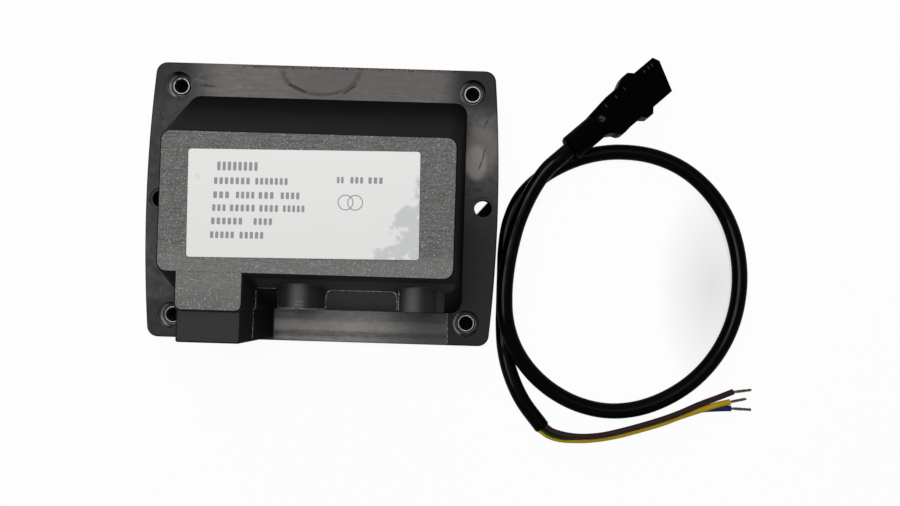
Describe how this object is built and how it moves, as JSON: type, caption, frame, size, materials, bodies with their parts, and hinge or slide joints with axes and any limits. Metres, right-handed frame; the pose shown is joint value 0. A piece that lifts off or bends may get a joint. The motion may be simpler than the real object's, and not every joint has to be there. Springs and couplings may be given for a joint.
{
  "type": "ignition transformer",
  "caption": "Potted high-voltage ignition transformer in a black moulded housing with a flange, two cable sockets and its unplugged mains lead.",
  "frame": {"origin": "centre of the flange's back, on the surface that the transformer is fixed to or lies on", "axes": "+Z out of the back through the raised label face, +X along the long side of the flange, -Y the way the sockets open"},
  "size_m": [0.2364, 0.1502, 0.0584],
  "materials": {
    "housing_black": "satin black moulded plastic, spark-eroded on the raised face",
    "label_white": "smooth white label",
    "sleeve_steel": "bright zinc-plated steel",
    "core_steel": "laminated silicon steel",
    "bobbin_plastic": "natural moulded plastic",
    "winding_copper": "enamelled copper wire",
    "terminal_brass": "bright brass",
    "lead_plastic": "insulated wire",
    "potting_resin": "cast dark resin",
    "connector_black": "satin black moulded plastic",
    "sheath_black": "glossy black flexible sheath",
    "core_brown": "brown insulation",
    "core_green_yellow": "yellow insulation with a green stripe",
    "core_blue": "blue insulation",
    "strand_copper": "bare tinned and oxidised copper strands"
  },
  "bodies": {
    "root": {"contact_sleeve_earth": "terminal_brass", "contact_sleeve_live": "terminal_brass", "contact_sleeve_neutral": "terminal_brass", "core_blue": "core_blue", "core_brown": "core_brown", "core_e_pack": "core_steel", "core_green_yellow": "core_green_yellow", "core_i_pack": "core_steel", "earth_lead": "lead_plastic", "fixing_sleeve_front_left": "sleeve_steel", "fixing_sleeve_front_right": "sleeve_steel", "fixing_sleeve_rear_left": "sleeve_steel", "fixing_sleeve_rear_right": "sleeve_steel", "housing": "housing_black", "hv_lead_left": "lead_plastic", "hv_lead_right": "lead_plastic", "hv_terminal_left": "terminal_brass", "hv_terminal_right": "terminal_brass", "lead_sheath": "sheath_black", "mains_connector": "connector_black", "mains_tab_earth": "terminal_brass", "mains_tab_live": "terminal_brass", "mains_tab_neutral": "terminal_brass", "name_label": "label_white", "potting_resin": "potting_resin", "primary_bobbin": "bobbin_plastic", "primary_lead_live": "lead_plastic", "primary_lead_neutral": "lead_plastic", "primary_winding": "winding_copper", "secondary_left_bobbin": "bobbin_plastic", "secondary_left_winding": "winding_copper", "secondary_right_bobbin": "bobbin_plastic", "secondary_right_winding": "winding_copper", "shunt_left_lower": "core_steel", "shunt_left_upper": "core_steel", "shunt_right_lower": "core_steel", "shunt_right_upper": "core_steel", "strands_blue": "strand_copper", "strands_brown": "strand_copper", "strands_green_yellow": "strand_copper"}
  },
  "joints": []
}
